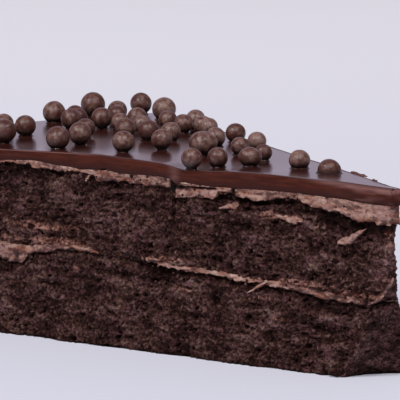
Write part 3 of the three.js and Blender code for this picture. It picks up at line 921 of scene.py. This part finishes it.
def make_dabs():
    (i, j, k), faces = block(*DAB_CELLS, 1)
    run, across = i / DAB_CELLS[0], 2 * j / DAB_CELLS[1] - 1
    points, all_faces, tones = [], [], []
    for number, (clean, dab) in enumerate(DABS):
        along, z, half_width = middle_line(dab, run)
        ahead, behind = middle_line(dab, run + DAB_STEP), middle_line(dab, run - DAB_STEP)
        forward, upward = ahead[0] - behind[0], ahead[1] - behind[1]
        length = np.hypot(forward, upward)
        torn = 1 + 0.35 * noise(run * 7, across, number, 31) + 0.25 * noise(run * 17, across, number, 34)
        width = half_width * across * torn
        along, z = along + width * upward / length, z - width * forward / length
        bulge = np.sqrt(np.clip(1 - across ** 2, 0, 1)) * np.clip(half_width / 0.4, 0.2, 1)
        relief = 0.25 * noise(along / 0.9, z / 0.5, number, 32)
        relief = relief + 0.15 * noise(along / 0.4, z / 0.3, number, 33)
        lift = np.where(k == 1, DAB_EDGE + bulge * (DAB_THICKNESS + relief), -DAB_ROOT)
        points.append(on_cuts(along, z, lift))
        all_faces.append(faces + number * len(i))
        # Painted light: each dab's tone rises where its relief stands out. It is also darker towards its
        # edges.
        tones.append(clean + 0.8 * relief - 0.6 * abs(across) ** 4)
    points, all_faces, tones = (np.concatenate(parts) for parts in (points, all_faces, tones))
    make_piece("dabs", points, all_faces, "buttercream", tone=tones)


make_dabs()


def ball(subdivisions):
    mesh = bmesh.new()
    bmesh.ops.create_icosphere(mesh, subdivisions=subdivisions, radius=1)
    points = np.array([v.co for v in mesh.verts])
    faces = np.array([[v.index for v in f.verts] for f in mesh.faces])
    mesh.free()
    return points, faces


# How many crumbs lie between two heights: on the sponge, at its foot, on the coat and on the filling.
CRUMB_BANDS = [(1300, 1, 38), (170, 0.35, 0.9), (150, 36.5, 40), (75, 17, 22)]
# How many more lie over the filling in front: where it is squeezed shut, and at the nose.
FILLING_CRUMBS = [(150, 71, 88), (40, 4, 12)]
FRONT_SHARE = 0.6  # how many of the crumbs on the cuts are on the front one
CRUMB_FLOOR = 0.02  # the height that no crumb goes below


def rough_balls(centres, radii, seed):
    """Many lumpy balls as one mesh: their points, their faces and the number of each point's ball."""
    shape, faces = ball(2)
    count = len(radii)
    number = np.repeat(np.arange(count), len(shape))
    points = np.tile(shape, (count, 1))
    lumps = 1 + 0.45 * noise(*(1.3 * points + 7.3 * number[:, None]).T, seed)
    points = points * (radii[number] * lumps)[:, None] + centres[number]
    faces = (faces[None] + len(shape) * np.arange(count)[:, None, None]).reshape(-1, 3)
    return points, faces, number


def make_crumbs():
    """Loose crumbs on the cuts, along the foot, and stuck to the coat and the filling."""
    pick = np.random.default_rng(5)

    def on_band(count, low, high):
        along = pick.uniform(10, TIN_RADIUS - 2, count)
        return along, pick.uniform(low, high, count), pick.random(count) < FRONT_SHARE

    def over_filling(count, near, far):
        along = pick.uniform(near, far, count)
        share = pick.uniform(-0.3, 1.3, count)
        return along, lerp(FILLING_BOTTOM_EDGE(along), FILLING_TOP_EDGE(along), share), along > 0

    groups = [on_band(*band) for band in CRUMB_BANDS] + [over_filling(*group) for group in FILLING_CRUMBS]
    along, z, in_front = (np.concatenate(parts) for parts in zip(*groups))
    along = np.maximum(along, nose_radius(z) + 1)
    radii = 0.22 + 0.3 * pick.random(len(along)) ** 3
    out = pick.uniform(-0.1, 0.25, len(along))
    points, faces, number = rough_balls(on_cuts(along, z, out, in_front), radii, 35)
    points[:, 2] = np.maximum(points[:, 2], CRUMB_FLOOR)
    tone = pick.normal(-0.3, 0.25, len(along))[number]
    make_piece("crumbs", points, faces, "sponge", tone=tone)


# Flakes of glaze on its back edge: along, back, length and thickness.
FLAKES = [
    (23.7, 14.1, 1.2, 0.3), (22.3, 13.3, 1.1, 0.22), (20.7, 12.4, 1.2, 0.2), (18.9, 11.3, 1.1, 0.16),
    (13.8, 7.9, 0.6, 0.3), (12.9, 7.3, 0.6, 0.2),
]


def make_flakes():
    along, back, length, thickness = np.array(FLAKES).T
    centres = np.stack([*on_slice(along, back), glaze_top(along, back) + 0.1 * thickness], 1)
    points, faces, number = rough_balls(centres, np.ones(len(centres)), 36)
    size = np.stack([length, 0.5 * length, thickness], 1)[number]
    points = centres[number] + (points - centres[number]) * size
    make_piece("glaze_flakes", points, faces, "glaze", cut=1, smear=0.5)


make_crumbs()
make_flakes()

# ---------------------------------------- pearls

PEARL_COUNT = sum(name.startswith("pearl_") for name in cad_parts)
OVAL_PEARLS = {34: 1.15, 41: 1.2}  # their lengths as shares of their widths
OVAL_TURN = math.radians(53)
# How dusty with bloom each of these pearls is. The others are dusted a little, at random.
DUSTY_PEARLS = {
    6: 0.4, 9: 0.3, 12: 0.3, 15: 0.1, 17: 0.3, 19: 0.4, 22: 0.1, 23: 0.3, 24: 0.35, 26: 0.5, 28: 0.4,
    29: 0.25, 30: 0.25, 31: 0.5, 32: 0.55, 33: 0.6, 34: 0.35, 35: 0.25, 36: 0.1, 37: 0.5, 38: 0,
    39: 0.35, 40: 0.8, 43: 0.5,
}


class Pearl:
    """A pearl in the place of its solid: its width is the solid's, and so is its top."""

    def __init__(self, number):
        self.name, self.seed = f"pearl_{number:02}", number - 1
        low, high = (np.array(corner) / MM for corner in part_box(self.name))
        self.length = OVAL_PEARLS.get(number, 1)
        self.turn = OVAL_TURN if self.length > 1 else 0
        self.radius = (high - low)[:2].mean() / (1 + self.length)
        self.centre = (low + high) / 2 - [APEX_X, 0, 0]
        self.centre[2] = high[2] - self.radius
        self.rise = self.centre[2] - glaze_top(*slice_place(*self.centre[:2]))
        self.dust = DUSTY_PEARLS.get(number, 0.2 * corner_value(self.seed, 1, 2, 3) + 0.1)

    def spun(self, x, y):
        """Plan points about the pearl's middle, drawn out along its length."""
        x = x * self.length
        cos, sin = math.cos(self.turn), math.sin(self.turn)
        return self.centre[0] + x * cos - y * sin, self.centre[1] + x * sin + y * cos


def slice_place(x, y):
    """The place on the slice of a plan point."""
    radius, angle = np.hypot(x, y), np.arctan2(y, -x) + WEDGE / 2
    return radius * np.cos(angle), radius * np.sin(angle)


PEARL_BALL = ball(4)


def make_pearl(pearl):
    points, faces = PEARL_BALL
    x, y, z = points.T
    seed = pearl.seed
    lumps = 0.03 * noise(1.1 * x + seed, 1.1 * y, 1.1 * z, seed)
    lumps = lumps + 0.008 * noise(3 * x, 3 * y + seed, 3 * z, seed)
    x, y, z = pearl.radius * (1 + lumps) * points.T
    above = z + pearl.rise
    # Painted shade: the pearl darkens towards its underside and where it sits in the glaze.
    under = 0.75 * smoothstep(-z / pearl.radius, -0.3, 0.8) + 0.4 * (1 - smoothstep(above, 0.5, 1.5))
    placed = np.stack([*pearl.spun(x, y), pearl.centre[2] + z], 1)
    make_piece(pearl.name, placed, faces, "pearl", under=under, dust=pearl.dust)


COLLAR_HEIGHT = 0.5
COLLAR_CELLS = 30
# The collar's section, closed: how far out from where it meets the pearl, and its share of the height.
COLLAR_SECTION = ((-0.4, -1), (-0.08, 1), (0.06, 0.5), (0.22, 0.15), (0.5, -0.06), (0.5, -1))
SOFT_EDGE = 1  # how near the front edge the collars start to draw in, and how near they come to it
NEAREST_EDGE = 0.4


def make_collars(pearls):
    """Where the soft glaze has crept up round the pearls, darkened with painted shade."""
    count = len(COLLAR_SECTION)
    turn, step = np.divmod(np.arange(COLLAR_CELLS * count), count)
    here, beside = turn * count, (turn + 1) % COLLAR_CELLS * count
    after = (step + 1) % count
    ring = np.stack([here + step, here + after, beside + after, beside + step], 1)
    out, share = np.array(COLLAR_SECTION)[step].T
    angle = 2 * math.pi * turn / COLLAR_CELLS
    points, faces = [], []
    for pearl in pearls:
        cos, sin = np.cos(angle), np.sin(angle)
        height = COLLAR_HEIGHT * (1 + 0.4 * noise(1.5 * cos, 1.5 * sin, pearl.seed, 91))
        meets = np.sqrt(np.maximum(pearl.radius ** 2 - (pearl.rise - height) ** 2, 0.1))
        along, back = slice_place(*pearl.spun((meets + out) * cos, (meets + out) * sin))
        drawn_in = NEAREST_EDGE + (SOFT_EDGE - NEAREST_EDGE) * np.exp(back - SOFT_EDGE)
        back = np.where(back < SOFT_EDGE, drawn_in, back)
        faces.append(ring + len(points) * len(ring))
        points.append(np.stack([*on_slice(along, back), glaze_top(along, back) + share * height], 1))
    # Painted shade: the collars are darkened through the shade mark.
    make_piece("glaze_collars", np.concatenate(points), np.concatenate(faces), "glaze", cut=0, shade=0.8)


PEARLS = [Pearl(number) for number in range(1, PEARL_COUNT + 1)]
for each in PEARLS:
    make_pearl(each)
make_collars(PEARLS)

# ---------------------------------------- stage, camera and lights

CAMERA_DISTANCE = 1311.07
CAMERA_LENS = 543.2
SENSOR_WIDTH = 36
CAMERA_ELEVATION = math.radians(8.186)
CAMERA_AZIMUTH = math.radians(53.229)
LOOK_BACK = 44.143  # how far behind the apex the camera looks, across its view
LOOK_HEIGHT = 41.065
CLIP_END = 20000
VIEW_COS, VIEW_SIN = math.cos(CAMERA_AZIMUTH), math.sin(CAMERA_AZIMUTH)
LOOK = Vector((APEX_X - LOOK_BACK * VIEW_COS, -LOOK_BACK * VIEW_SIN, LOOK_HEIGHT))


def place_round_look(obj, right, towards, up):
    """Puts it at that distance from LOOK along each of the camera's level axes, turned to LOOK."""
    to_right = Vector((VIEW_COS, VIEW_SIN, 0))
    to_camera = Vector((VIEW_SIN, -VIEW_COS, 0))
    where = LOOK + right * to_right + towards * to_camera + Vector((0, 0, up))
    obj.location = where * MM
    obj.rotation_euler = (LOOK - where).to_track_quat("-Z", "Y").to_euler()
    scene.collection.objects.link(obj)


def make_camera():
    camera = bpy.data.objects.new("camera", bpy.data.cameras.new("camera"))
    camera.data.lens = CAMERA_LENS
    camera.data.sensor_width = SENSOR_WIDTH
    camera.data.clip_end = CLIP_END * MM
    level = CAMERA_DISTANCE * math.cos(CAMERA_ELEVATION)
    rise = CAMERA_DISTANCE * math.sin(CAMERA_ELEVATION)
    place_round_look(camera, 0, level, rise)
    scene.camera = camera


SOFTBOX_DISTANCE = 4000
FLOOR_HALF = 6000
# Painted light: the floor is painted darker near the slice and lighter further off.
FLOOR_COLOURS = ("d9dae7", "f2f2fa")  # near the slice and further off
BACKDROP_ELEVATION = math.radians(12)
ROOM_LIGHT = (0.2, 0.195, 0.215, 1)
BACKDROP_LIGHT = (0.52, 0.46, 0.58, 1)


def make_softbox(name, azimuth, elevation, size, watts, tint):
    """A square light, aimed at the slice. Its azimuth is counted to the right from the camera."""
    azimuth, elevation = math.radians(azimuth), math.radians(elevation)
    level = SOFTBOX_DISTANCE * math.cos(elevation)
    rise = SOFTBOX_DISTANCE * math.sin(elevation)
    light = bpy.data.lights.new(name, "AREA")
    light.size = size * MM
    light.energy = watts
    light.color = tint
    softbox = bpy.data.objects.new(name, light)
    place_round_look(softbox, level * math.sin(azimuth), level * math.cos(azimuth), rise)


def make_floor():
    """A pale floor that fills the view, painted a little lighter further off and darker near the slice:
    painted light and shade.
    """
    shader = Shader("studio_floor", Roughness=0.9, Specular_IOR_Level=0.1)
    inputs = {0: shader.place, 1: (-VIEW_SIN, VIEW_COS, 0)}
    distance = shader.node("VectorMath", inputs, "Value", operation="DOT_PRODUCT")
    shade = shader.mix(shader.between(distance, -50, 700), *FLOOR_COLOURS)
    mesh = bpy.data.meshes.new("floor")
    half = FLOOR_HALF * MM
    corners = [(-half, -half, 0), (half, -half, 0), (half, half, 0), (-half, half, 0)]
    mesh.from_pydata(corners, [], [(0, 1, 2, 3)])
    mesh.materials.append(shader.drive(Base_Color=shade))
    floor = bpy.data.objects.new("floor", mesh)
    scene.collection.objects.link(floor)


def make_world():
    """A dim room with a lit backdrop low down behind the slice, which the glaze reflects."""
    world = bpy.data.worlds.new("studio")
    world.use_nodes = True
    tree = world.node_tree
    level = math.cos(BACKDROP_ELEVATION)
    middle = (-VIEW_SIN * level, VIEW_COS * level, math.sin(BACKDROP_ELEVATION))
    inputs = {0: add_node(tree, "TexCoord", {}, "Generated"), 1: middle}
    nearness = add_node(tree, "VectorMath", inputs, "Value", operation="DOT_PRODUCT")
    share = add_node(tree, "MapRange", {"Value": nearness, "From Min": 0.7, "From Max": 0.94})
    inputs = {0: share, 6: ROOM_LIGHT, 7: BACKDROP_LIGHT}
    shade = add_node(tree, "Mix", inputs, 2, data_type="RGBA")
    tree.links.new(shade, tree.nodes["Background"].inputs["Color"])
    scene.world = world


make_camera()
make_floor()
make_world()
make_softbox("softbox_left", -46, 44, 1300, 108, (1, 0.98, 0.97))
make_softbox("softbox_right", 26, 50, 1100, 70, (1, 0.98, 0.98))
scene.view_settings.view_transform = "Standard"
